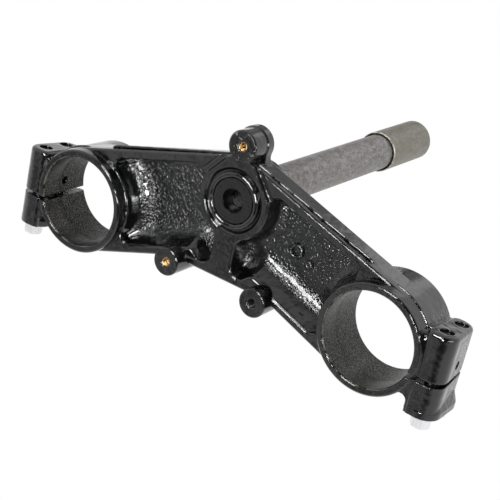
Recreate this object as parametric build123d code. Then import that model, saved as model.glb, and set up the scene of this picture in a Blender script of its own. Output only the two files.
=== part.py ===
from build123d import *
import os
from math import asin, atan2, cos, degrees, hypot, sin

# Lower triple clamp of a motorcycle: a cast bridge that grips two fork tubes and carries
# the steering stem. Millimetres, X across the machine, -Y towards the front of it, +Z up
# along the stem. Heights are counted from the clamps' lower faces, on which the part
# stands, and each finished solid is lowered so that the origin is the stem's lower end.

# Fork clamps
fork_bore_radius = 27.0
fork_spacing = 202.0
fork_offset = 39.0
clamp_wall = 4.2
clamp_height = 37.8
clamp_draft = 0.7
clamp_edge = 0.8
bore_bevel = 0.7

# Arms between the clamps and the stem
arm_bottom = 5.6
parting_height = 10.0
arm_top = 24.0
draft_angle = 3.0
arm_edge_radius = 1.6
rear_apex = 27.0
front_flat = 47.5
front_corner = 33.5
front_tangent_inset = 0.5
rear_rail = 5.4
front_rail = 4.9

# Pockets under the arms
pocket_floor = 20.0
pocket_draft = 5.0
pocket_corner_radius = 6.2
pocket_floor_radius = 4.6
pocket_overlap = 0.3
lip_edge = 0.9
web_width = 14.6
web_flare_radius = 6.5

# Stem boss in the middle
boss_radius = 22.9
boss_foot_radius = 21.4
boss_foot_flare = 1.8
boss_draw = 1.6
boss_top = 36.0
boss_top_edge = 1.0
weld_groove_radius = 19.2
weld_groove_depth = 1.7

# Rear lug with its threaded boss
lug_offset = 32.5
lug_boss_radius = 9.2
lug_boss_bottom = 3.4
lug_radius = 10.0
lug_step = 15.0
lug_top = 21.0
lug_edge = 1.0
lug_blend_radius = 7.0
lug_root = 1.2
lug_reach = 22.0
small_edge = 0.6

# Valleys beside the neck between centre boss and rear lug
neck_groove_width = 4.6
neck_groove_depth = 1.7
neck_groove_start = (9.5, 25.4)
neck_groove_end = (23.4, 8.6)

# Two small threaded bosses at the front
front_boss_x = 30.2
front_boss_y = 48.1
front_boss_radius = 8.4
front_boss_drop = 2.5
small_thread_radius = 2.6
small_thread_mouth = 0.6
small_thread_depth = 14.0

# Clamp ears and pinch bolts
bolt_offset = 37.5
bolt_radius = 4.0
bolt_gap = 0.15
bolt_rise = 9.45
bolt_tip_recess = 1.5
ear_outer = 45.5
ear_outer_lean = 2.4
ear_inner = 29.2
ear_inset = 0.8
ear_rear = 20.2
ear_rear_lean = 3.0
ear_front = 29.0
ear_round = 8.0
ear_blend = 4.0
ear_edge = 2.2
ear_inner_round = 4.5
ear_front_round = 3.0
ear_web_step = 0.8
ear_web_end = 3.0
ear_web_edge = 1.5
seat_offset = 36.4
seat_width = 20.5
seat_height = 36.8
seat_thickness = 3.4
seat_flare = 7.0
seat_draw = 2.6
slit_offset = 8.4
slit_width = 2.9
cross_hole_radius = 2.6

# Bolt heads
head_across_flats = 10.0
head_height = 6.2
flange_radius = 6.6
flange_height = 1.3
head_edge = 0.5
bolt_point = 0.8

# Steering stem
stem_fit_radius = 12.75
stem_fit_gap = 0.02
seat_collar_radius = 14.0
seat_collar_height = 7.2
stem_radius = 11.5
stem_top = 226.6
stem_stand = 0.1
thread_radius = 12.4
thread_start = 179.0
stem_edge = 0.8
stand_bore_radius = 7.0
stand_bore_depth = 7.2
stem_thread_radius = 5.4
stem_thread_length = 22.0
stem_bore_radius = 7.5

# Thread protector sleeve
sleeve_outer_radius = 13.1
sleeve_gap = 0.1
sleeve_bottom = 175.0
sleeve_end = 1.2
sleeve_lip = 3.0

# How far joined solids reach into each other, and how near counts as the same place
overlap = 1.0
touch = 0.01

clamp_radius = fork_bore_radius + clamp_wall
belt_radius = clamp_radius + clamp_draft
fork_x = fork_spacing / 2
middle = clamp_height / 2
bolt_x = fork_x + bolt_offset
mid_wall_radius = fork_bore_radius + clamp_wall / 2
slit_y = -fork_offset - slit_offset
bolt_heights = (middle - bolt_rise, middle + bolt_rise)
stem_foot = arm_bottom + stem_stand
sleeve_top = stem_top + sleeve_end
boss_top_radius = boss_foot_radius - boss_draw


def both_sides(shape):
    """The shape and its mirror image across the machine's centre plane."""
    return shape + mirror(shape, Plane.YZ)


def upright(radius, bottom, top, x=0.0, y=0.0):
    """A cylinder with its axis along Z."""
    return Pos(x, y, (bottom + top) / 2) * Cylinder(radius, top - bottom)


def crosswise(radius, front, rear, x, z):
    """A cylinder with its axis along Y."""
    return Pos(x, (front + rear) / 2, z) * Rot(90, 0, 0) * Cylinder(radius, rear - front)


def rounded(plan, corner, radius):
    """A flat outline with its corner nearest to a point rounded off."""
    return fillet(plan.vertices().sort_by_distance(corner)[0], radius)


def bevelled(plan, corner, size):
    """A flat outline with its corner nearest to a point cut off."""
    return chamfer(plan.vertices().sort_by_distance(corner)[0], size)


def tangent_point(start, radius, turn):
    """Where the line from a point touches a circle round the fork bore; turn picks the side."""
    px, py = start
    dx, dy = fork_x - px, -fork_offset - py
    reach = hypot(dx, dy)
    angle = atan2(dy, dx) + turn * asin(radius / reach)
    length = (reach**2 - radius**2) ** 0.5
    return px + length * cos(angle), py + length * sin(angle)


def arm_lines():
    """The rear and the front edge of the left-hand arm, as pairs of points."""
    rear = (0.0, rear_apex)
    front = (front_corner, -front_flat)
    front_end = tangent_point(front, belt_radius - front_tangent_inset, -1)
    return (rear, tangent_point(rear, belt_radius, 1)), (front, front_end)


def moved(line, distance):
    """A line shifted sideways, to its left when the distance is positive."""
    (x1, y1), (x2, y2) = line
    length = hypot(x2 - x1, y2 - y1)
    nx, ny = (y1 - y2) / length * distance, (x2 - x1) / length * distance
    return (x1 + nx, y1 + ny), (x2 + nx, y2 + ny)


def point_at(line, x=None, y=None):
    """The point of a line at a given x, or at a given y."""
    (x1, y1), (x2, y2) = line
    part = (x - x1) / (x2 - x1) if y is None else (y - y1) / (y2 - y1)
    return x1 + (x2 - x1) * part, y1 + (y2 - y1) * part


def arm_plan():
    """Outline of both arms in the parting plane."""
    rear, front = arm_lines()
    half = [rear[1], front[1], front[0]]
    other = [(-x, y) for x, y in half]
    return make_face(Polyline(rear[0], *other, *reversed(half), close=True))


def drafted(plan, bottom, top):
    """A casting wall on a plan, tapering down and up from the parting plane."""
    upper = extrude(plan, amount=top - parting_height, taper=draft_angle)
    lower = mirror(extrude(plan, amount=parting_height - bottom, taper=draft_angle), Plane.XY)
    return Pos(0, 0, parting_height) * (lower + upper)


def pocket_plan():
    """The left-hand pocket's outline, bounded by rails, web, centre boss and clamp."""
    rear, front = arm_lines()
    rear, front = moved(rear, -rear_rail), moved(front, front_rail)
    web_x = web_width / 2
    front_y = front_rail - front_flat
    corners = [(web_x, front_y), point_at(front, y=front_y), front[1], rear[1], point_at(rear, x=web_x)]
    plan = make_face(Polyline(*corners, close=True))
    plan -= Pos(fork_x, -fork_offset) * Circle(belt_radius - pocket_overlap)
    plan -= Circle(boss_radius)
    plan = rounded(plan, (web_x, front_y), web_flare_radius)
    sharp = [v for v in plan.vertices() if hypot(v.X - web_x, v.Y - front_y) > web_flare_radius + touch]
    return fillet(sharp, pocket_corner_radius)


def pocket():
    """What the left-hand pocket takes out of the arm: leaning walls and a rounded floor."""
    depth = pocket_floor - arm_bottom
    tool = Pos(0, 0, arm_bottom) * extrude(pocket_plan(), amount=depth, taper=pocket_draft)
    return fillet(tool.edges().group_by(Axis.Z)[-1], pocket_floor_radius)


def neck_groove():
    """The round-bottomed valley between the neck of the centre boss and a rear rail."""
    (x1, y1), (x2, y2) = neck_groove_start, neck_groove_end
    radius = ((neck_groove_width / 2) ** 2 + neck_groove_depth**2) / (2 * neck_groove_depth)
    z = arm_bottom + neck_groove_depth - radius
    bar = Rot(0, 90, 0) * Cylinder(radius, hypot(x2 - x1, y2 - y1))
    bar = Rot(0, 0, degrees(atan2(y2 - y1, x2 - x1))) * bar
    bar = Pos((x1 + x2) / 2, (y1 + y2) / 2, z) * bar
    return bar + Pos(x1, y1, z) * Sphere(radius)


def arms():
    """Both arms: a drafted slab, hollowed from below, its edges broken or rounded."""
    slab = drafted(arm_plan(), arm_bottom, arm_top) - both_sides(pocket())
    edges = slab.edges().group_by(Axis.Z)
    slab = chamfer(edges[0], lip_edge)
    edges = slab.edges().group_by(Axis.Z)
    return fillet(edges[-1], arm_edge_radius)


def centre_boss():
    """The tapering boss on top of the arms that the stem is pressed into."""
    foot = boss_foot_radius + boss_foot_flare
    profile = make_face(
        Polyline(
            (0, arm_top - overlap),
            (foot, arm_top - overlap),
            (foot, arm_top),
            (boss_foot_radius, arm_top),
            (boss_top_radius, boss_top),
            (0, boss_top),
            close=True,
        )
    )
    profile = bevelled(profile, (boss_foot_radius, arm_top), boss_foot_flare)
    profile = bevelled(profile, (boss_top_radius, boss_top), boss_top_edge)
    return revolve(Plane.XZ * profile, Axis.Z)


def lug():
    """The rear lug with the long threaded boss below it."""
    rear, _ = arm_lines()
    inner = moved(rear, -lug_root)
    x = lug_reach
    root = [point_at(inner, x=0), point_at(inner, x=x), (x, 0), (-x, 0)]
    left_x, left_y = point_at(inner, x=x)
    root.append((-left_x, left_y))
    plan = make_face(Polyline(*root, close=True)) + Pos(0, lug_offset) * Circle(lug_radius)
    corners = [v for v in plan.vertices() if abs(hypot(v.X, v.Y - lug_offset) - lug_radius) < touch]
    plan = fillet(corners, lug_blend_radius)
    body = Pos(0, 0, lug_step) * extrude(plan, amount=lug_top - lug_step)
    body = chamfer(body.edges().group_by(Axis.Z)[-1], lug_edge)
    boss = upright(lug_boss_radius, lug_boss_bottom, lug_step + overlap, 0, lug_offset)
    boss = chamfer(boss.edges().group_by(Axis.Z)[0], small_edge)
    flare = lug_radius - lug_boss_radius
    root_cone = Cone(lug_boss_radius, lug_radius, flare)
    return body + boss + Pos(0, lug_offset, lug_step - flare / 2) * root_cone


def front_boss():
    """The left-hand one of the two small bosses on the front rail."""
    post = upright(front_boss_radius, -front_boss_drop, pocket_floor, front_boss_x, -front_boss_y)
    return chamfer(post.edges().group_by(Axis.Z)[0], small_edge)


def clamp_body():
    """One clamp as a turned ring blank, widest at the parting plane."""
    profile = make_face(
        Polyline(
            (0, 0),
            (clamp_radius, 0),
            (belt_radius, parting_height),
            (clamp_radius, clamp_height),
            (0, clamp_height),
            close=True,
        )
    )
    for height in (0, clamp_height):
        profile = bevelled(profile, (clamp_radius, height), clamp_edge)
    return Pos(fork_x, -fork_offset, 0) * revolve(Plane.XZ * profile, Axis.Z)


def ear_block(inner, front, rear, inner_round):
    """A block beside the clamp with rounded outer edges and a leaning outer face."""
    low, high = ear_inset, clamp_height - ear_inset
    outer = fork_x + ear_outer
    lean = outer - ear_outer_lean
    corners = [(inner, low), (outer, low), (outer, parting_height), (lean, high), (inner, high)]
    section = make_face(Polyline(*corners, close=True))
    for corner in ((outer, low), (lean, high)):
        section = rounded(section, corner, ear_round)
    for corner in ((inner, low), (inner, high)):
        section = rounded(section, corner, inner_round)
    return extrude(Plane.XZ.offset(-rear) * section, amount=rear - front)


def ear_root(front):
    """The hollow curve that joins the lower ear's inner wall to the clamp."""
    wall = fork_x + ear_inner
    plan = Pos(fork_x, -fork_offset) * Circle(clamp_radius - clamp_draft / 2)
    plan += Pos(wall + ear_blend, (front + slit_y) / 2) * Rectangle(2 * ear_blend, slit_y - front)
    corner = [v for v in plan.vertices() if abs(v.X - wall) < touch and v.Y > front + touch]
    plan = fillet(corner, ear_blend)
    low, high = 2 * ear_inset, clamp_height - 2 * ear_inset
    return Pos(0, 0, low) * extrude(plan, amount=high - low)


def bolt_seat(front):
    """The widened foot both bolt heads rest on, drawn in towards the slit."""
    section = Pos(fork_x + seat_offset, middle) * Rot(0, 0, 90) * SlotOverall(seat_height, seat_width)
    foot = extrude(Plane.XZ.offset(-front) * section, amount=-seat_thickness)
    face = Plane.XZ.offset(-front - seat_thickness) * section
    return foot + extrude(face, amount=-seat_flare, taper=degrees(atan2(seat_draw, seat_flare)))


def ear_slant(rear):
    """What the ear's leaning rear face cuts off."""
    size = 2 * ear_outer
    lean = degrees(atan2(ear_rear_lean, clamp_height))
    return Pos(fork_x + ear_outer, rear, 0) * Rot(lean, 0, 0) * Pos(0, size / 2, 0) * Box(size, size, size)


def ear_web(rear):
    """The wall beyond the parting plane that joins the ear's rear half to the clamp."""
    inner = fork_x + (mid_wall_radius**2 - ear_rear**2) ** 0.5
    low, high = parting_height, clamp_height - ear_web_end
    size = (bolt_x - inner, rear - slit_y, high - low)
    wall = Pos((inner + bolt_x) / 2, (slit_y + rear) / 2, (low + high) / 2) * Box(*size)
    wall -= ear_slant(rear - ear_web_step)
    top = wall.faces().sort_by(Axis.Y)[-1]
    return fillet(top.edges().filter_by(Axis.X), ear_web_edge)


def ear():
    """The two halves of one clamp's ear, before the slit and the bolt holes."""
    front = -fork_offset - ear_front
    rear = -fork_offset + ear_rear
    inner = fork_x + ear_inner
    upper = ear_block(inner, slit_y - slit_width, rear, ear_inner_round) - ear_slant(rear)
    slanted = [e for e in upper.edges() if e.center().Y > rear - ear_rear_lean - touch]
    upper = fillet(slanted, ear_edge) + ear_web(rear)
    lower = ear_block(inner, front, slit_y, ear_front_round)
    return upper + lower + ear_root(front) + bolt_seat(front)


def small_thread(x, y, mouth):
    """A blind threaded hole from below, with a countersunk mouth."""
    wide = small_thread_radius + small_thread_mouth
    sink = Cone(wide, small_thread_radius, small_thread_mouth)
    hole = upright(small_thread_radius, mouth, mouth + small_thread_depth, x, y)
    return hole + Pos(x, y, mouth + small_thread_mouth / 2) * sink


def fork_bore():
    """The bore for one fork tube, with a bevel at both ends."""
    x, y = fork_x, -fork_offset
    wide = fork_bore_radius + bore_bevel
    bore = upright(fork_bore_radius, 0, clamp_height, x, y)
    bore += Pos(x, y, bore_bevel / 2) * Cone(wide, fork_bore_radius, bore_bevel)
    return bore + Pos(x, y, clamp_height - bore_bevel / 2) * Cone(fork_bore_radius, wide, bore_bevel)


def ear_cuts():
    """The slit, the two bolt holes and the cross hole of one clamp."""
    reach = ear_outer + seat_width - fork_bore_radius
    x = fork_x + fork_bore_radius - clamp_wall
    cuts = Pos(x + reach / 2, slit_y, middle) * Box(reach, slit_width, clamp_height + 2 * overlap)
    for z in bolt_heights:
        cuts += crosswise(bolt_radius + bolt_gap, -fork_offset - 2 * ear_front, 0, bolt_x, z)
    cross = Rot(0, 90, 0) * Cylinder(cross_hole_radius, reach)
    return cuts + Pos(x + reach / 2, -fork_offset, middle) * cross


def stem_cuts():
    """The bore for the stem and the weld groove round its lower end."""
    bore = upright(stem_fit_radius + stem_fit_gap, arm_bottom, boss_top)
    inner = weld_groove_radius - weld_groove_depth
    groove = Cone(weld_groove_radius, inner, weld_groove_depth)
    return bore + Pos(0, 0, arm_bottom + weld_groove_depth / 2) * groove


def casting():
    """The whole painted casting."""
    body = arms() - both_sides(neck_groove())
    body += centre_boss()
    body += lug()
    body += both_sides(front_boss())
    body += both_sides(clamp_body())
    body += both_sides(ear())
    body -= both_sides(fork_bore() + ear_cuts())
    body -= both_sides(small_thread(front_boss_x, -front_boss_y, -front_boss_drop))
    body -= small_thread(0, lug_offset, lug_boss_bottom)
    return body - stem_cuts()


def steering_stem():
    """The hollow stem: pressed end, bearing seat, plain shank and threaded end."""
    collar_top = boss_top + seat_collar_height
    thread_end = stem_foot + stand_bore_depth + stem_thread_length
    profile = make_face(
        Polyline(
            (stand_bore_radius, stem_foot),
            (stem_fit_radius, stem_foot),
            (stem_fit_radius, boss_top),
            (seat_collar_radius, boss_top),
            (seat_collar_radius, collar_top),
            (stem_radius, collar_top + seat_collar_radius - stem_radius),
            (stem_radius, thread_start - stem_edge),
            (thread_radius, thread_start),
            (thread_radius, stem_top - stem_edge),
            (thread_radius - stem_edge, stem_top),
            (stem_bore_radius, stem_top),
            (stem_bore_radius, thread_end),
            (stem_thread_radius, thread_end),
            (stem_thread_radius, stem_foot + stand_bore_depth),
            (stand_bore_radius, stem_foot + stand_bore_depth),
            close=True,
        )
    )
    return revolve(Plane.XZ * profile, Axis.Z)


def thread_sleeve():
    """The thin sleeve pushed over the stem's threaded end."""
    inner = thread_radius + sleeve_gap
    profile = make_face(
        Polyline(
            (inner, sleeve_bottom),
            (sleeve_outer_radius, sleeve_bottom),
            (sleeve_outer_radius, sleeve_top),
            (inner - sleeve_lip, sleeve_top),
            (inner - sleeve_lip, stem_top),
            (inner, stem_top),
            close=True,
        )
    )
    return revolve(Plane.XZ * profile, Axis.Z)


def pinch_bolt(side, z):
    """One flanged hexagon bolt, its head against the seat at the front of the ear."""
    front = -fork_offset - ear_front
    tip = -fork_offset + ear_rear - ear_rear_lean * z / clamp_height - bolt_tip_recess
    x = side * bolt_x
    shank = crosswise(bolt_radius, front - flange_height, tip, x, z)
    shank = chamfer(shank.edges().group_by(Axis.Y)[-1], bolt_point)
    flange = crosswise(flange_radius, front - flange_height, front, x, z)
    seat = front - flange_height
    hexagon = Pos(x, z) * RegularPolygon(head_across_flats / 2, 6, major_radius=False)
    head = extrude(Plane.XZ.offset(-seat) * hexagon, amount=head_height)
    dome = crosswise(head_across_flats / 3**0.5, seat - head_height, seat, x, z)
    dome = chamfer(dome.edges().group_by(Axis.Y)[0], head_edge)
    return shank + flange + (head & dome)


def save(shape, name):
    """Writes one solid, lowered so that the stem's lower end is the origin."""
    export_step(Pos(0, 0, -stem_foot) * shape, f"parts/{name}.step")


os.makedirs("parts", exist_ok=True)
save(casting(), "casting")
save(steering_stem(), "steering_stem")
save(thread_sleeve(), "thread_sleeve")
for side, word in ((1, "left"), (-1, "right")):
    for z, level in zip(bolt_heights, ("lower", "upper")):
        save(pinch_bolt(side, z), f"pinch_bolt_{word}_{level}")
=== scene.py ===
import math

import bpy
from mathutils import Matrix, Vector, noise


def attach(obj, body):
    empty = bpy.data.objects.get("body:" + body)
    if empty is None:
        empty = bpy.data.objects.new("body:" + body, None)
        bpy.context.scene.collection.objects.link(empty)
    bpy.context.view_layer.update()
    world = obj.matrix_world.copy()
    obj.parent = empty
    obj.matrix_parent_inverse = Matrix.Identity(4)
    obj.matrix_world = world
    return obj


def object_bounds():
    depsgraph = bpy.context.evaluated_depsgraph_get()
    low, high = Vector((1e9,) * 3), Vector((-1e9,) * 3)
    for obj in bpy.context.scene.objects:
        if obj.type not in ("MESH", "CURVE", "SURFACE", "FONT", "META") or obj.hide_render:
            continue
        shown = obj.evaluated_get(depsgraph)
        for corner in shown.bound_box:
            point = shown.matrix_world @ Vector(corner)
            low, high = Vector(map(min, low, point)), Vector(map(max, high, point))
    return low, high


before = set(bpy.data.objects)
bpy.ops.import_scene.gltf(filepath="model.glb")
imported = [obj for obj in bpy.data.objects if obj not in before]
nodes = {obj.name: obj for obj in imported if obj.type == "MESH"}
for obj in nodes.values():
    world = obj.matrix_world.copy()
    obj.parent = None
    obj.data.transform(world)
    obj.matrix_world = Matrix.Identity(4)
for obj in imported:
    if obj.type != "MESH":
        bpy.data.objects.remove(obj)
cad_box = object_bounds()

# The casting: one bridge of cast steel that holds both fork tubes and the stem. It was
# dipped in gloss black, so the paint is thick and a little wavy, and worn on sharp rims.
# Its pockets keep the coarse skin of the sand mould, and its fork bores are turned.

mm = 0.001

# Sizes of the left-hand half in millimetres: the fork bore, the middle and half of the
# clamp's height, and the rails' outer faces. The rear one is the line
# y = rear_line - rear_slope * x. The front one is y = front_line as far as
# x = front_corner, and from there it runs forward by front_slope.
fork_x, fork_y, fork_radius = 101.0, -39.0, 27.0
clamp_middle, clamp_half = 13.2, 18.9
rear_line, rear_slope = 27.0, 0.31
front_line, front_corner, front_slope = -47.5, 33.5, 0.37
rear_boss_y = 32.5


def material(name):
    """A new material with its principled shader, output and object coordinates."""
    made = bpy.data.materials.new(name)
    made.use_nodes = True
    tree = made.node_tree
    shader = tree.nodes["Principled BSDF"]
    place = tree.nodes.new("ShaderNodeTexCoord")
    return made, tree, shader, place.outputs["Object"]


def link(tree, source, target):
    """Joins two sockets, or writes a plain value on the second one."""
    if isinstance(source, bpy.types.NodeSocket):
        tree.links.new(source, target)
    else:
        target.default_value = source


def calc(tree, operation, first, second=0.0, third=0.0):
    """One sum on numbers, each of them a value or a socket."""
    node = tree.nodes.new("ShaderNodeMath")
    node.operation = operation
    for socket, value in zip(node.inputs, (first, second, third)):
        link(tree, value, socket)
    return node.outputs[0]


def times(tree, *factors):
    """The product of two or more numbers."""
    product = factors[0]
    for factor in factors[1:]:
        product = calc(tree, "MULTIPLY", product, factor)
    return product


def grain(tree, vector, scale, detail=2.0, roughness=0.5, distortion=0.0):
    """Soft noise of a given fineness; a scale of 1000 is about one wave a millimetre."""
    node = tree.nodes.new("ShaderNodeTexNoise")
    node.inputs["Scale"].default_value = scale
    node.inputs["Detail"].default_value = detail
    node.inputs["Roughness"].default_value = roughness
    node.inputs["Distortion"].default_value = distortion
    tree.links.new(vector, node.inputs["Vector"])
    return node.outputs["Fac"]


def span(tree, value, low, high, out_low=0.0, out_high=1.0):
    """Turns the stretch from low to high of a value into another stretch, smoothly."""
    node = tree.nodes.new("ShaderNodeMapRange")
    node.interpolation_type = "SMOOTHSTEP"
    link(tree, value, node.inputs["Value"])
    ends = {"From Min": low, "From Max": high, "To Min": out_low, "To Max": out_high}
    for key, number in ends.items():
        link(tree, number, node.inputs[key])
    return node.outputs["Result"]


def blend(tree, factor, first, second):
    """A colour between two colours."""
    node = tree.nodes.new("ShaderNodeMix")
    node.data_type = "RGBA"
    link(tree, factor, node.inputs["Factor"])
    for key, colour in ((6, first), (7, second)):
        if isinstance(colour, tuple):
            colour = (*colour, 1.0)
        link(tree, colour, node.inputs[key])
    return node.outputs[2]


def relief(tree, heights, shader, start=None):
    """Stacks bumps on a normal, each given as its height field and its depth in metres."""
    normal = start
    for height, depth in heights:
        node = tree.nodes.new("ShaderNodeBump")
        node.inputs["Distance"].default_value = depth
        link(tree, height, node.inputs["Height"])
        if normal is not None:
            tree.links.new(normal, node.inputs["Normal"])
        normal = node.outputs["Normal"]
    tree.links.new(normal, shader.inputs["Normal"])


def stretched(tree, vector, x, y, z):
    """Coordinates pulled out along the axes whose factor is small."""
    node = tree.nodes.new("ShaderNodeMapping")
    node.inputs["Scale"].default_value = (x, y, z)
    tree.links.new(vector, node.inputs["Vector"])
    return node.outputs["Vector"]


def axes(tree, vector):
    """The x, y and z of a vector, each as a socket."""
    node = tree.nodes.new("ShaderNodeSeparateXYZ")
    tree.links.new(vector, node.inputs[0])
    return node.outputs


def reach(tree, first, second):
    """Length of the flat vector with these two parts."""
    squares = [calc(tree, "POWER", part, 2.0) for part in (first, second)]
    return calc(tree, "SQRT", calc(tree, "ADD", *squares))


def dress(node, finish):
    """Gives a CAD node its one finish."""
    node.data.materials.clear()
    node.data.materials.append(finish)


def gloss_black_on_casting():
    """Thick black paint, coarser in the pockets, with dark turned metal in the fork bores."""
    paint, tree, shader, here = material("gloss_black_on_casting")
    x, y, z = axes(tree, here)
    side = calc(tree, "ABSOLUTE", x)

    # The places that differ from plain paint, each as a number from 0 to 1.
    beside_fork = calc(tree, "SUBTRACT", side, fork_x * mm)
    ahead_of_fork = calc(tree, "SUBTRACT", y, fork_y * mm)
    from_fork = reach(tree, beside_fork, ahead_of_fork)
    bore_end = (fork_radius + 0.4) * mm
    in_bore = span(tree, from_fork, (fork_radius + 0.1) * mm, bore_end, 1.0, 0.0)
    outside_bore = calc(tree, "SUBTRACT", 1.0, in_bore)
    behind = calc(tree, "MULTIPLY_ADD", side, rear_slope, y)
    before_rear = span(tree, behind, (rear_line - 7.5) * mm, (rear_line - 5.5) * mm, 1.0, 0.0)
    past_corner = calc(tree, "MAXIMUM", calc(tree, "SUBTRACT", side, front_corner * mm), 0.0)
    ahead = calc(tree, "MULTIPLY_ADD", past_corner, front_slope, y)
    behind_front = span(tree, ahead, (front_line + 3.9) * mm, (front_line + 5.9) * mm)
    in_pocket = times(tree, before_rear, behind_front, span(tree, z, 5.0 * mm, 11.5 * mm))
    on_floor = span(tree, z, 8.5 * mm, 11.5 * mm, 0.45, 1.0)
    left_is_coarser = span(tree, x, -10.0 * mm, 10.0 * mm, 0.58, 1.0)
    from_lug = reach(tree, x, calc(tree, "SUBTRACT", y, rear_boss_y * mm))
    round_lug = span(tree, from_lug, 8.0 * mm, 9.0 * mm, 1.0, 0.0)
    lug_face = times(tree, round_lug, span(tree, z, -1.4 * mm, -0.9 * mm, 1.0, 0.0))
    from_middle = calc(tree, "ABSOLUTE", calc(tree, "SUBTRACT", z, clamp_middle * mm))
    at_end = span(tree, from_middle, (clamp_half - 1.1) * mm, (clamp_half - 0.7) * mm)
    bore_edge = span(tree, from_fork, bore_end, (fork_radius + 0.6) * mm, 1.0, 0.0)
    bore_mouth = times(tree, at_end, bore_edge)

    # The unevenness of the paint, of the sand skin and of the turning.
    waves = times(tree, grain(tree, here, 95.0, 2.0, 0.5), outside_bore)
    lumps = times(tree, grain(tree, here, 330.0, 1.0, 0.4), outside_bore)
    peel = grain(tree, here, 700.0, 1.0, 0.4)
    coarse = grain(tree, here, 820.0, 0.8, 0.4, 0.5)
    pits = grain(tree, here, 1100.0, 0.6, 0.4)
    sand = calc(tree, "MULTIPLY_ADD", pits, 0.12, coarse)
    mould = times(tree, sand, times(tree, in_pocket, times(tree, on_floor, left_is_coarser)))
    turning = grain(tree, stretched(tree, here, 0.15, 0.15, 1.0), 1500.0, 1.0, 0.5)
    marks = times(tree, turning, in_bore)
    rough_face = times(tree, grain(tree, here, 420.0, 2.0, 0.6), lug_face)

    # Metal shows where the paint wore off the bores' mouths and chipped off the rear lug.
    worn_rim = times(tree, bore_mouth, span(tree, grain(tree, here, 160.0, 3.0, 0.7), 0.40, 0.60))
    chips = times(tree, lug_face, span(tree, grain(tree, here, 280.0, 3.0, 0.65), 0.60, 0.64))
    rubbed = calc(tree, "MAXIMUM", worn_rim, chips)

    thick_paint, thin_paint = (0.0035, 0.0036, 0.0042), (0.0065, 0.0066, 0.0072)
    oily_steel, dry_steel = (0.022, 0.0215, 0.021), (0.10, 0.097, 0.094)
    bare_steel = (0.27, 0.25, 0.21)
    painted = blend(tree, span(tree, waves, 0.35, 0.65), thick_paint, thin_paint)
    film = span(tree, grain(tree, here, 1300.0, 1.0, 0.5), 0.42, 0.72)
    colour = blend(tree, in_bore, painted, blend(tree, film, oily_steel, dry_steel))
    link(tree, blend(tree, rubbed, colour, bare_steel), shader.inputs["Base Color"])
    link(tree, in_bore, shader.inputs["Metallic"])
    dull = span(tree, waves, 0.3, 0.7, 0.08, 0.16)
    for place, more in ((in_bore, 0.26), (rubbed, 0.15), (in_pocket, 0.04)):
        dull = calc(tree, "MULTIPLY_ADD", place, more, dull)
    link(tree, dull, shader.inputs["Roughness"])
    link(tree, calc(tree, "MULTIPLY_ADD", in_bore, -0.35, 0.35), shader.inputs["Coat Weight"])
    shader.inputs["Coat Roughness"].default_value = 0.04

    soft_edge = tree.nodes.new("ShaderNodeBevel")
    soft_edge.samples = 6
    soft_edge.inputs["Radius"].default_value = 1.1 * mm
    bumps = [(waves, 0.8 * mm), (lumps, 0.10 * mm), (peel, 0.02 * mm)]
    bumps += [(mould, 0.95 * mm), (marks, 0.12 * mm), (rough_face, 0.7 * mm)]
    relief(tree, bumps, shader, soft_edge.outputs["Normal"])
    return paint


black_paint = gloss_black_on_casting()
dress(nodes["casting"], black_paint)

# The skin of the pockets: cast steel as the rest, painted black with it. Where the sand core
# broke up, the floors came out lumpy, and they run up to the clamps and to the front rails
# in wide hollow curves.


def solid_part(name, vertices, faces, finish):
    """A new smooth object in the scene from points in metres and faces."""
    mesh = bpy.data.meshes.new(name)
    mesh.from_pydata(vertices, [], faces)
    mesh.materials.append(finish)
    mesh.polygons.foreach_set("use_smooth", [True] * len(mesh.polygons))
    made = bpy.data.objects.new(name, mesh)
    bpy.context.scene.collection.objects.link(made)
    return made


def hollow(distance, radius):
    """How far a quarter-round hollow stands above the floor at a distance from its wall."""
    left = max(0.0, radius - max(distance, 0.01 * radius))
    return radius - math.sqrt(radius * radius - left * left)


def ramp(distance, radius, foot, steepest):
    """Height over the floor of a wall that leans back: a hollow foot, then a straight slope."""
    inward = foot - distance
    if inward <= 0.0:
        return 0.0
    turn = radius * math.sin(steepest)
    if inward < turn:
        return radius - math.sqrt(radius * radius - inward * inward)
    return radius * (1.0 - math.cos(steepest)) + (inward - turn) * math.tan(steepest)


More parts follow.
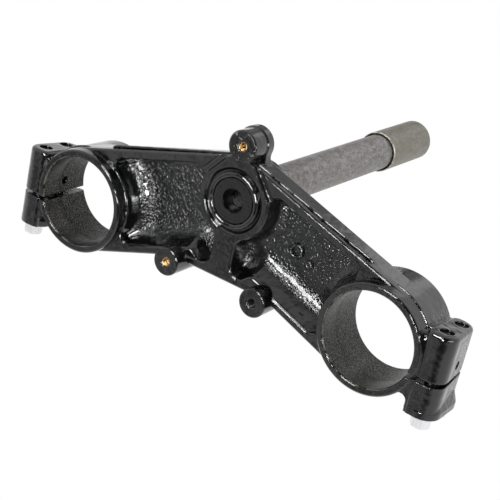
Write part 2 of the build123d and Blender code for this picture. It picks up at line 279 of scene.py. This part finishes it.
def pocket_skin(side, name, clamp_hollow):
    """The lumpy floor of one pocket, in millimetres until the last step."""
    first_x, first_y, step, row_ratio = 2.0, -62.0, 0.55, 1.06
    columns, rows = 149, 141
    floor, back, skin_depth, highest = 14.3, 15.3, 0.55, 13.2
    clamp_wall, boss_wall, web_wall = 31.6, 22.9, 7.3
    rear_wall, front_wall, rear_hollow, inner_hollow = 5.4, 4.9, 6.5, 6.2
    rear_cosine, front_cosine, steepest = 0.955, 0.938, math.radians(55.0)

    def inside(x, y):
        """Whether a point lies in the pocket or a few millimetres inside its walls."""
        from_rear = rear_line - y - rear_slope * x
        from_front = y - front_line + front_slope * max(x - front_corner, 0.0)
        from_fork = math.hypot(x - fork_x, y - fork_y)
        if from_rear <= 2.4 or from_front <= 2.2 or from_fork <= 29.4:
            return False
        return math.hypot(x, y) > 18.5 and x > 3.0

    def height(x, y):
        """The skin's height at a point: the floor, the hollows at its walls, and its lumps."""
        from_clamp = math.hypot(x - fork_x, y - fork_y) - clamp_wall
        from_rear = (rear_line - y - rear_slope * x) * rear_cosine - rear_wall
        from_boss = math.hypot(x, y) - boss_wall
        from_web = x - web_wall
        walls = [(from_clamp, clamp_hollow), (from_rear, rear_hollow)]
        walls += [(from_boss, inner_hollow), (from_web, inner_hollow)]
        heights = [hollow(distance, radius) for distance, radius in walls]

        # The front wall leans back, and its foot widens over the first 23 mm from the web.
        wide = min(max((x - 5.0) / 18.0, 0.0), 1.0)
        wide *= wide * (3.0 - 2.0 * wide)
        past_corner = x - front_corner if x > 23.0 else -10.5 * wide
        from_front = (y - front_line + front_slope * past_corner) * front_cosine - front_wall
        foot_radius, foot = 5.0 + 7.0 * wide, 5.2 + 10.0 * wide
        heights.append(ramp(from_front, foot_radius, foot, steepest))
        rise = sum(part**4 for part in heights) ** 0.25

        place = Vector((side * x, y, 0.0))
        lump = 0.10 * noise.noise(place / 2.6)
        lump += 0.08 * noise.noise(place / 1.4 + Vector((7.0, 3.0, 1.0)))
        lump *= 1.0 - 0.4 * min(rise, 1.0)
        lump += 0.35 * noise.noise(place / 9.0)
        return floor - skin_depth - min(rise, highest) - lump

    def at(i, j):
        return first_x + i * step, first_y + j * step * row_ratio

    def corners(i, j):
        return (i, j), (i, j + 1), (i + 1, j + 1), (i + 1, j)

    grid = [corners(i, j) for i in range(columns) for j in range(rows)]
    cells = [cell for cell in grid if all(inside(*at(*corner)) for corner in cell)]
    spots, vertices = {}, []
    for cell in cells:
        for corner in cell:
            if corner not in spots:
                spots[corner] = len(vertices)
                x, y = at(*corner)
                vertices.append((side * x * mm, y * mm, height(x, y) * mm))
    count = len(vertices)
    vertices += [(x, y, back * mm) for x, y, _ in vertices]

    faces, edges = [], []
    for cell in cells:
        a, b, c, d = (spots[corner] for corner in (cell if side > 0 else cell[::-1]))
        faces += [(a, b, c, d), (d + count, c + count, b + count, a + count)]
        edges += [(a, b), (b, c), (c, d), (d, a)]
    shared = set(edges)
    faces += [(b, a, a + count, b + count) for a, b in edges if (b, a) not in shared]
    skin = solid_part(name, vertices, faces, black_paint)
    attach(skin, "root")


pocket_skin(1, "pocket_skin_left", 17.0)
pocket_skin(-1, "pocket_skin_right", 10.0)

# The fillets between clamps and ears: part of the same casting and under the same black
# paint. The metal runs in one hollow from each clamp's face to the rear half of its ear,
# up to the slit.


def ear_fillet(side, name):
    """Fills the groove between one clamp and its ear, in millimetres until the last step."""
    rows, across = 42, 14
    first_y, step, rear_end = -46.1, 0.6, -25.5
    clamp_radius, ear_x = 30.4, 135.2
    lower_face, step_up, dip, back, deepest = -5.6, 0.8, 1.2, 5.0, 4.0
    vertices = []
    for i in range(rows):
        y = first_y + i * step
        ring_x = fork_x + math.sqrt(clamp_radius**2 - (y - fork_y) ** 2)
        fall = 0.16 * max(0.0, y - rear_end) ** 2
        for j in range(across):
            share = -0.12 + 1.24 * j / (across - 1)
            x = ring_x + share * (ear_x - ring_x)
            share = min(max(share, 0.0), 1.0)
            lump = 0.12 * noise.noise(Vector((side * x, y, 0.0)) / 3.0)
            z = lower_face + step_up * share + dip * math.sin(math.pi * share) + fall + lump
            vertices.append((side * x * mm, y * mm, min(z, deepest) * mm))
    count = len(vertices)
    vertices += [(x, y, back * mm) for x, y, _ in vertices]

    faces = []
    for i in range(rows - 1):
        for a in range(i * across, (i + 1) * across - 1):
            b = a + across
            faces.append((a, b, b + 1, a + 1))
            faces.append((a + 1 + count, b + 1 + count, b + count, a + count))
    border = list(range(across))
    border += [i * across + across - 1 for i in range(1, rows)]
    border += [(rows - 1) * across + j for j in range(across - 2, -1, -1)]
    border += [i * across for i in range(rows - 2, 0, -1)]
    faces += [(a, b, b + count, a + count) for a, b in zip(border, border[1:] + border[:1])]
    if side < 0:
        faces = [tuple(reversed(face)) for face in faces]
    fillet = solid_part(name, vertices, faces, black_paint)
    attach(fillet, "root")


ear_fillet(1, "ear_fillet_left")
ear_fillet(-1, "ear_fillet_right")

# The beads on the casting, all steel under black paint: the wavy seam where the halves of
# the mould met, the weld that holds the stem's lower end, and the foundry mark cast on
# one pocket's floor, two plain rings.

clamp_seam, seam_z = 31.75, 4.3


def tree_with(name, inputs):
    """An empty geometry tree with named inputs, given as label, kind and first value."""
    tree = bpy.data.node_groups.new(name, "GeometryNodeTree")
    tree.interface.new_socket("Path", in_out="INPUT", socket_type="NodeSocketGeometry")
    tree.interface.new_socket("Piece", in_out="OUTPUT", socket_type="NodeSocketGeometry")
    for label, kind, value in inputs:
        socket = tree.interface.new_socket(
            label, in_out="INPUT", socket_type="NodeSocket" + kind
        )
        if value is not None:
            socket.default_value = value
    given, made = tree.nodes.new("NodeGroupInput"), tree.nodes.new("NodeGroupOutput")
    return tree, given.outputs, made.inputs


def step_in(tree, kind, wires, **settings):
    """One node with its inputs wired or set by name, and its first output handed on."""
    node = tree.nodes.new(kind)
    for key, value in settings.items():
        setattr(node, key, value)
    for key, value in wires.items():
        link(tree, value, node.inputs[key])
    return node.outputs[0]


def shaken(tree, geometry, amount, scale, seed, spread=(1.0, 1.0, 1.0)):
    """Moves every point by a soft noise of up to half the amount, spread over the axes."""
    position = step_in(tree, "GeometryNodeInputPosition", {})
    noisy = tree.nodes.new("ShaderNodeTexNoise")
    noisy.noise_dimensions = "4D"
    noisy.inputs["Detail"].default_value = 1.0
    for key, value in (("Vector", position), ("Scale", scale), ("W", seed)):
        link(tree, value, noisy.inputs[key])
    wires = {0: noisy.outputs["Color"], 1: (0.5, 0.5, 0.5)}
    way = step_in(tree, "ShaderNodeVectorMath", wires, operation="SUBTRACT")
    way = step_in(tree, "ShaderNodeVectorMath", {0: way, 1: spread}, operation="MULTIPLY")
    wires = {0: way, "Scale": amount}
    offset = step_in(tree, "ShaderNodeVectorMath", wires, operation="SCALE")
    return step_in(tree, "GeometryNodeSetPosition", {"Geometry": geometry, "Offset": offset})


def swept(tree, line, width, sides):
    """A round bar along a curve, closed at its ends."""
    half = calc(tree, "MULTIPLY", width, 0.5)
    wires = {"Resolution": sides, "Radius": half}
    outline = step_in(tree, "GeometryNodeCurvePrimitiveCircle", wires)
    wires = {"Curve": line, "Profile Curve": outline, "Fill Caps": True}
    return step_in(tree, "GeometryNodeCurveToMesh", wires)


def hand_over(tree, piece, given, made):
    """Ends a tree: the piece as real geometry, in the finish that was given."""
    piece = step_in(tree, "GeometryNodeRealizeInstances", {"Geometry": piece})
    wires = {"Geometry": piece, "Material": given["Finish"]}
    link(tree, step_in(tree, "GeometryNodeSetMaterial", wires), made["Piece"])
    return tree


def bead_tree():
    """A round bead of paint-covered metal along a path of edges."""
    inputs = [("Width", "Float", 0.001), ("Spacing", "Float", 0.001)]
    inputs += [("Wander", "Float", 0.0), ("Lumps", "Float", 0.0), ("Lump scale", "Float", 400.0)]
    inputs += [("Seed", "Float", 1.0), ("Finish", "Material", None)]
    tree, given, made = tree_with("bead", inputs)
    line = step_in(tree, "GeometryNodeMeshToCurve", {"Mesh": given["Path"]})
    wires = {"Curve": line, "Length": given["Spacing"]}
    line = step_in(tree, "GeometryNodeResampleCurve", wires, mode="LENGTH")
    line = shaken(tree, line, given["Wander"], 130.0, given["Seed"], (0.12, 0.12, 1.0))
    bead = swept(tree, line, given["Width"], 10)
    bead = shaken(tree, bead, given["Lumps"], given["Lump scale"], given["Seed"])
    bead = step_in(tree, "GeometryNodeSetShadeSmooth", {"Geometry": bead})
    return hand_over(tree, bead, given, made)


def grown(name, chains, tree, values):
    """Runs a geometry tree on chains of points in mm and keeps the result as a plain mesh."""
    points, edges = [], []
    for chain, closed in chains:
        first = len(points)
        points += [tuple(mm * part for part in point) for point in chain]
        edges += [(first + n, first + n + 1) for n in range(len(chain) - 1)]
        if closed:
            edges.append((len(points) - 1, first))
    path = bpy.data.meshes.new(name + "_path")
    path.from_pydata(points, edges, [])
    piece = bpy.data.objects.new(name, path)
    bpy.context.scene.collection.objects.link(piece)
    growth = piece.modifiers.new("growth", "NODES")
    growth.node_group = tree
    for item in tree.interface.items_tree:
        if item.in_out == "INPUT" and item.name in values:
            growth[item.identifier] = values[item.name]
    evaluated = piece.evaluated_get(bpy.context.evaluated_depsgraph_get())
    result = bpy.data.meshes.new_from_object(evaluated)
    piece.modifiers.clear()
    piece.data = result
    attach(piece, "root")


def round_clamp(start, end):
    """Points round the left-hand clamp at the seam's height, by angles in degrees."""
    steps = 24
    angles = [math.radians(start + (end - start) * n / steps) for n in range(steps + 1)]
    return [
        (fork_x + clamp_seam * math.cos(angle), fork_y + clamp_seam * math.sin(angle), seam_z)
        for angle in angles
    ]


def mirrored(chain):
    """The same chain on the right-hand side, from its other end."""
    return [(-x, y, z) for x, y, z in reversed(chain)]


def circle(x, y, z, radius, count):
    """Points of a level circle."""
    angles = [n * math.tau / count for n in range(count)]
    return [(x + radius * math.cos(a), y + radius * math.sin(a), z) for a in angles]


bead = bead_tree()
rear_half = round_clamp(27.0, 107.4)
rear_half += [(x, 26.95 - 0.3108 * x, seam_z) for x in (88.0, 66.0, 44.0, 22.0, 4.0)]
front_half = round_clamp(-26.0, -109.5)
front_half += [(86.0, -66.4, seam_z), (60.0, -57.0, seam_z)]
front_half += [(33.5, -47.4, seam_z), (3.0, -47.4, seam_z)]
halves = (rear_half, mirrored(rear_half), front_half, mirrored(front_half))
seam_chains = [(half, False) for half in halves]
seam_values = {"Width": 1.7 * mm, "Spacing": 1.6 * mm, "Wander": 2.2 * mm}
seam_values.update({"Lumps": 0.5 * mm, "Seed": 4.0, "Finish": black_paint})
grown("parting_seam", seam_chains, bead, seam_values)

weld_circle = circle(0.0, 0.0, 0.9, 14.9, 90)
weld_values = {"Width": 3.4 * mm, "Spacing": 0.9 * mm, "Lumps": 0.7 * mm}
weld_values.update({"Lump scale": 520.0, "Seed": 9.0, "Finish": black_paint})
grown("stem_weld", [(weld_circle, True)], bead, weld_values)

mark_z = 12.9
large_ring = circle(-39.0, -17.6, mark_z, 3.6, 24)
small_ring = circle(-48.6, -22.2, mark_z, 1.5, 24)
mark = [(large_ring, True), (small_ring, True)]
mark_values = {"Width": 2.2 * mm, "Spacing": 0.7 * mm, "Lumps": 0.2 * mm}
mark_values.update({"Seed": 2.0, "Finish": black_paint})
grown("foundry_mark", mark, bead, mark_values)

# The steering stem: a turned steel tube pressed and welded into the casting. It is left
# bare, so it has gone a dull grey with faint turning marks and a few rusty stains. Its
# lower end was dipped with the casting, and its bore is painted near-black: painted shade.


def turned_steel(name, light, dark, stain):
    """Bare steel with turning marks and stains, black where dipped, painted shade in its bore."""
    steel, tree, shader, here = material(name)
    x, y, z = axes(tree, here)
    radius = reach(tree, x, y)

    # The dipped end, the bore's painted shade, the damp stretch near the casting and the sleeve's
    # rim.
    dipped = span(tree, z, 0.6 * mm, 1.2 * mm, 1.0, 0.0)
    lower_bore = span(tree, z, 150.0 * mm, 200.0 * mm, 1.0, 0.0)
    inside = times(tree, span(tree, radius, 7.2 * mm, 7.8 * mm, 1.0, 0.0), lower_bore)
    black = calc(tree, "MAXIMUM", dipped, inside)
    near_casting = span(tree, z, 30.0 * mm, 85.0 * mm, 1.0, 0.0)
    from_mouth = calc(tree, "ABSOLUTE", calc(tree, "SUBTRACT", z, 169.4 * mm))
    at_mouth = span(tree, from_mouth, 0.6 * mm, 1.2 * mm, 1.0, 0.0)
    sleeve_mouth = times(tree, span(tree, radius, 12.5 * mm, 12.7 * mm), at_mouth)

    cloud = grain(tree, here, 60.0, 4.0, 0.6)
    marks = grain(tree, stretched(tree, here, 0.12, 0.12, 1.0), 2600.0, 2.0, 0.6)
    speckle = grain(tree, here, 900.0, 3.0, 0.65)
    mottle = grain(tree, stretched(tree, here, 1.0, 1.0, 0.6), 420.0, 3.0, 0.65)
    mixed = calc(tree, "MULTIPLY_ADD", speckle, 0.45, times(tree, mottle, 0.30))
    mixed = calc(tree, "MULTIPLY_ADD", marks, 0.25, mixed)
    rust = times(tree, span(tree, cloud, 0.45, 0.70), 0.75)
    spots = times(tree, span(tree, grain(tree, here, 260.0, 4.0, 0.7), 0.47, 0.62), near_casting)

    rust_spot, bright_edge = (0.06, 0.048, 0.038), (0.62, 0.58, 0.50)
    # Near-black: the dipped end's real paint, and painted shade down the bore.
    bore_shade_and_dipped_black = (0.006, 0.006, 0.0065)
    colour = blend(tree, span(tree, mixed, 0.40, 0.60), dark, light)
    colour = blend(tree, rust, colour, stain)
    colour = blend(tree, times(tree, spots, 0.6), colour, rust_spot)
    bright = times(tree, sleeve_mouth, span(tree, mottle, 0.35, 0.6))
    colour = blend(tree, bright, colour, bright_edge)
    link(tree, blend(tree, black, colour, bore_shade_and_dipped_black), shader.inputs["Base Color"])
    link(tree, calc(tree, "MULTIPLY_ADD", black, -0.85, 0.85), shader.inputs["Metallic"])
    dull = span(tree, speckle, 0.3, 0.7, 0.42, 0.58)
    link(tree, calc(tree, "MULTIPLY_ADD", black, -0.30, dull), shader.inputs["Roughness"])
    lumps = times(tree, grain(tree, here, 620.0, 0.8, 0.4), dipped)
    relief(tree, [(marks, 0.03 * mm), (speckle, 0.04 * mm), (lumps, 0.4 * mm)], shader)
    return steel


steel_light, steel_dark = (0.335, 0.325, 0.321), (0.135, 0.128, 0.125)
steel_stain = (0.225, 0.20, 0.175)
bare_steel = turned_steel("bare_stem_steel", steel_light, steel_dark, steel_stain)
dress(nodes["steering_stem"], bare_steel)

# The sleeve over the stem's far end: a thin tube of dull grey steel with an even matt
# surface, pushed on to guard the thread.

sleeve_light, sleeve_dark = (0.28, 0.268, 0.23), (0.17, 0.162, 0.138)
sleeve_stain = (0.21, 0.205, 0.155)
grey_steel = turned_steel("grey_sleeve", sleeve_light, sleeve_dark, sleeve_stain)
dress(nodes["thread_sleeve"], grey_steel)

# The threads: cut into the steel of the stem's lower end, the rear lug's boss and the two
# small front bosses. In the rear and the left-hand boss the paint has rubbed off the first
# turns, down to yellow metal.


def thread_tree():
    """The same turns of thread at every point of the path, rising from it."""
    inputs = [("Radius", "Float", 0.0025), ("Pitch", "Float", 0.001), ("Turns", "Float", 5.0)]
    inputs += [("Crest", "Float", 0.0006), ("Finish", "Material", None)]
    tree, given, made = tree_with("thread", inputs)
    rise = calc(tree, "MULTIPLY", given["Pitch"], given["Turns"])
    wires = {"Resolution": 28, "Rotations": given["Turns"], "Height": rise}
    wires.update({"Start Radius": given["Radius"], "End Radius": given["Radius"]})
    line = step_in(tree, "GeometryNodeCurveSpiral", wires)
    coil = swept(tree, line, given["Crest"], 6)
    coil = step_in(tree, "GeometryNodeSetShadeSmooth", {"Geometry": coil})
    wires = {"Points": given["Path"], "Instance": coil}
    coils = step_in(tree, "GeometryNodeInstanceOnPoints", wires)
    return hand_over(tree, coils, given, made)


def rubbed_thread(name, metal, dirt_and_shade, cover):
    """Bare thread crests under what is left of the paint; cover is the painted share."""
    worn, tree, shader, here = material(name)
    patches = grain(tree, here, 700.0, 2.0, 0.6)
    painted = span(tree, patches, cover - 0.05, cover + 0.05, 1.0, 0.0)
    shade = blend(tree, grain(tree, here, 1500.0, 2.0, 0.6), dirt_and_shade, metal)
    link(tree, blend(tree, painted, shade, (0.008, 0.008, 0.008)), shader.inputs["Base Color"])
    link(tree, calc(tree, "SUBTRACT", 1.0, painted), shader.inputs["Metallic"])
    link(tree, span(tree, patches, 0.3, 0.7, 0.22, 0.40), shader.inputs["Roughness"])
    relief(tree, [(patches, 0.1 * mm)], shader)
    return worn


thread = thread_tree()
yellow = rubbed_thread("yellow_thread", (0.95, 0.66, 0.30), (0.42, 0.24, 0.09), 0.42)
# Near-black metal for the stem's and right-hand boss's threads: painted shade in the holes.
shaded_thread = rubbed_thread("near_black_shaded_thread", (0.05, 0.05, 0.049), (0.02, 0.02, 0.02), 0.30)
boss_turns = {"Radius": 2.35 * mm, "Pitch": 1.0 * mm, "Turns": 8.0, "Crest": 0.9 * mm}
boss_holes = (
    ("rear_boss_thread", (0.0, rear_boss_y, -1.7), yellow),
    ("left_boss_thread", (30.2, -48.1, -7.6), yellow),
    ("right_boss_thread", (-30.2, -48.1, -7.6), shaded_thread),
)
for name, start, finish in boss_holes:
    values = {**boss_turns, "Finish": finish}
    grown(name, [([start], False)], thread, values)

stem_turns = {"Radius": 4.9 * mm, "Pitch": 1.75 * mm, "Turns": 12.0, "Crest": 0.9 * mm}
stem_turns["Finish"] = shaded_thread
grown("stem_thread", [([(0.0, 0.0, 7.6)], False)], thread, stem_turns)

# The pinch bolts: flanged steel bolts with bright zinc plating on their heads, screwed
# through the front half of each ear into the rear half. From the flange inwards they are
# painted near-black, as painted shade in the ears' holes.


def bright_zinc():
    """Clouded bright plating on the heads, and painted shade: near-black from the flange inwards.
    """
    zinc, tree, shader, here = material("bright_zinc")
    # From the flange inwards the bolt is painted near-black: painted shade inside the ear's
    # holes.
    shaded_shank = span(tree, axes(tree, here)["Y"], -67.2 * mm, -66.8 * mm)
    cloud = grain(tree, here, 350.0, 3.0, 0.6)
    plated = blend(tree, cloud, (0.86, 0.87, 0.90), (0.96, 0.96, 0.98))
    link(tree, blend(tree, shaded_shank, plated, (0.03, 0.03, 0.03)), shader.inputs["Base Color"])
    link(tree, calc(tree, "MULTIPLY_ADD", shaded_shank, 0.4, 0.25), shader.inputs["Metallic"])
    link(tree, span(tree, cloud, 0.3, 0.7, 0.18, 0.32), shader.inputs["Roughness"])
    relief(tree, [(grain(tree, here, 1500.0, 2.0, 0.5), 0.02 * mm)], shader)
    return zinc


zinc = bright_zinc()
for name in nodes:
    if name.startswith("pinch_bolt"):
        dress(nodes[name], zinc)

# The floor: a pale studio table under the clamps' lower faces. It is seen from above
# only, so that a camera under the part looks past it.


def see_through(tree, shader, share):
    """Lets a share of the light straight through a surface."""
    clear = tree.nodes.new("ShaderNodeBsdfTransparent")
    pick = tree.nodes.new("ShaderNodeMixShader")
    tree.links.new(share, pick.inputs["Fac"])
    tree.links.new(shader.outputs[0], pick.inputs[1])
    tree.links.new(clear.outputs[0], pick.inputs[2])
    tree.links.new(pick.outputs[0], tree.nodes["Material Output"].inputs["Surface"])


def hide_from(item, *rays):
    """Leaves an object out of what these kinds of rays meet."""
    for ray in rays:
        setattr(item, "visible_" + ray, False)


table_top = cad_box[0][2] - 0.1 * mm
bpy.ops.mesh.primitive_plane_add(size=6.0, location=(0.0, 0.0, table_top))
floor = bpy.context.object
floor.name = "floor"
pale, tree, shader, here = material("pale_table")
shader.inputs["Base Color"].default_value = (0.86, 0.86, 0.86, 1.0)
shader.inputs["Roughness"].default_value = 0.7
faces_away = tree.nodes.new("ShaderNodeNewGeometry").outputs["Backfacing"]
see_through(tree, shader, faces_away)
floor.data.materials.append(pale)
hide_from(floor, "diffuse", "glossy", "transmission", "shadow")

# The studio: a white room for the camera and for reflections, a little darker as the light
# on the part, and soft boxes that draw the bright lines along the casting's rounded edges.

world = bpy.data.worlds.new("studio")
bpy.context.scene.world = world
world.use_nodes = True
tree = world.node_tree
tree.nodes.clear()
rays = tree.nodes.new("ShaderNodeLightPath").outputs
seen = calc(tree, "MAXIMUM", rays["Is Glossy Ray"], rays["Is Transmission Ray"])
seen = calc(tree, "MAXIMUM", rays["Is Camera Ray"], seen)
either = tree.nodes.new("ShaderNodeMixShader")
tree.links.new(seen, either.inputs["Fac"])
lights_part, seen_room = 0.9, 1.0
for place, strength in ((1, lights_part), (2, seen_room)):
    room = tree.nodes.new("ShaderNodeBackground")
    room.inputs["Color"].default_value = (1.0, 1.0, 1.0, 1.0)
    room.inputs["Strength"].default_value = strength
    tree.links.new(room.outputs[0], either.inputs[place])
out = tree.nodes.new("ShaderNodeOutputWorld")
tree.links.new(either.outputs[0], out.inputs["Surface"])


def soft_box(name, direction, distance, width, height, brightness):
    """A lamp panel that faces the part; brightness 1 is as bright as the white room."""
    lamp = bpy.data.lights.new(name, "AREA")
    lamp.shape = "RECTANGLE"
    lamp.size = width
    lamp.size_y = height
    lamp.energy = brightness * math.pi * width * height
    panel = bpy.data.objects.new(name, lamp)
    bpy.context.scene.collection.objects.link(panel)
    way = Vector(direction).normalized()
    panel.location = way * distance
    panel.rotation_euler = (-way).to_track_quat("-Z", "Y").to_euler()
    return panel


edge_boxes = (
    ("key_box", (0.06, 0.44, -0.90), 0.30, 0.24, 42.0),
    ("edge_box", (-0.05, 0.75, -0.65), 0.32, 0.14, 8.0),
    ("low_box", (-0.31, 0.06, -0.93), 0.20, 0.20, 80.0),
    ("strip_box", (-0.93, 0.12, -0.34), 0.10, 0.40, 14.0),
)
for name, direction, width, height, brightness in edge_boxes:
    hide_from(soft_box(name, direction, 0.9, width, height, brightness), "diffuse")
soft_box("back_box", (0.15, 0.57, 0.80), 1.0, 0.70, 0.50, 0.4)

# The black cards: round screens of dark cloth, of the kind that is set up opposite a glossy
# black part so that its edges and rough skin stand out. A large one stands behind the
# camera, a small one behind the part, and a patchy one at its side.


def card_cloth(name, thinnest):
    """Dark cloth that fades at the card's edge; thinnest is what its patches let through."""
    cloth, tree, shader, here = material(name)
    shader.inputs["Base Color"].default_value = (0.02, 0.02, 0.02, 1.0)
    shader.inputs["Roughness"].default_value = 1.0
    shader.inputs["Specular IOR Level"].default_value = 0.0
    x, y, _ = axes(tree, here)
    faded = span(tree, reach(tree, x, y), 0.54, 0.98)
    if thinnest:
        patches = span(tree, grain(tree, here, 5.0, 2.0, 0.6), 0.40, 0.60)
        patches = calc(tree, "MULTIPLY_ADD", patches, 1.0 - thinnest, thinnest)
        faded = calc(tree, "MAXIMUM", faded, patches)
    see_through(tree, shader, faded)
    return cloth


def black_card(name, direction, distance, radius, cloth):
    """A round screen that faces the part and is seen in reflections alone."""
    way = Vector(direction).normalized()
    bpy.ops.mesh.primitive_circle_add(
        vertices=96, radius=1.0, fill_type="NGON", location=way * distance
    )
    card = bpy.context.object
    card.name = name
    card.scale = (radius, radius, radius)
    card.rotation_euler = (-way).to_track_quat("Z", "Y").to_euler()
    card.data.materials.append(cloth)
    hide_from(card, "camera", "diffuse", "transmission", "volume_scatter", "shadow")


dark = card_cloth("dark_cloth", 0.0)
patchy = card_cloth("patchy_cloth", 0.25)
black_card("front_card", (-0.33, 0.33, -0.88), 1.05, 1.7, dark)
black_card("back_card", (0.30, 0.47, 0.83), 1.2, 0.42, dark)
black_card("side_card", (0.45, -0.37, -0.81), 1.1, 0.75, patchy)

# The camera: below the part and behind it, in the place that the circles of both clamps
# and of the stem fix in the photograph.

lens = bpy.data.cameras.new("camera")
lens.sensor_width = 36.0
lens.lens = 92.868
camera = bpy.data.objects.new("camera", lens)
place = Matrix.Translation((-0.33668, 0.25177, -0.57372))
right = Vector((-0.81063987, 0.2043214, 0.54874017))
up = Vector((0.37638151, 0.89971686, 0.22101251))
back = Vector((-0.44855319, 0.38569721, -0.80624915))
camera.matrix_world = place @ Matrix((right, up, back)).transposed().to_4x4()
bpy.context.scene.collection.objects.link(camera)
bpy.context.scene.camera = camera
bpy.context.scene.view_settings.view_transform = "Standard"
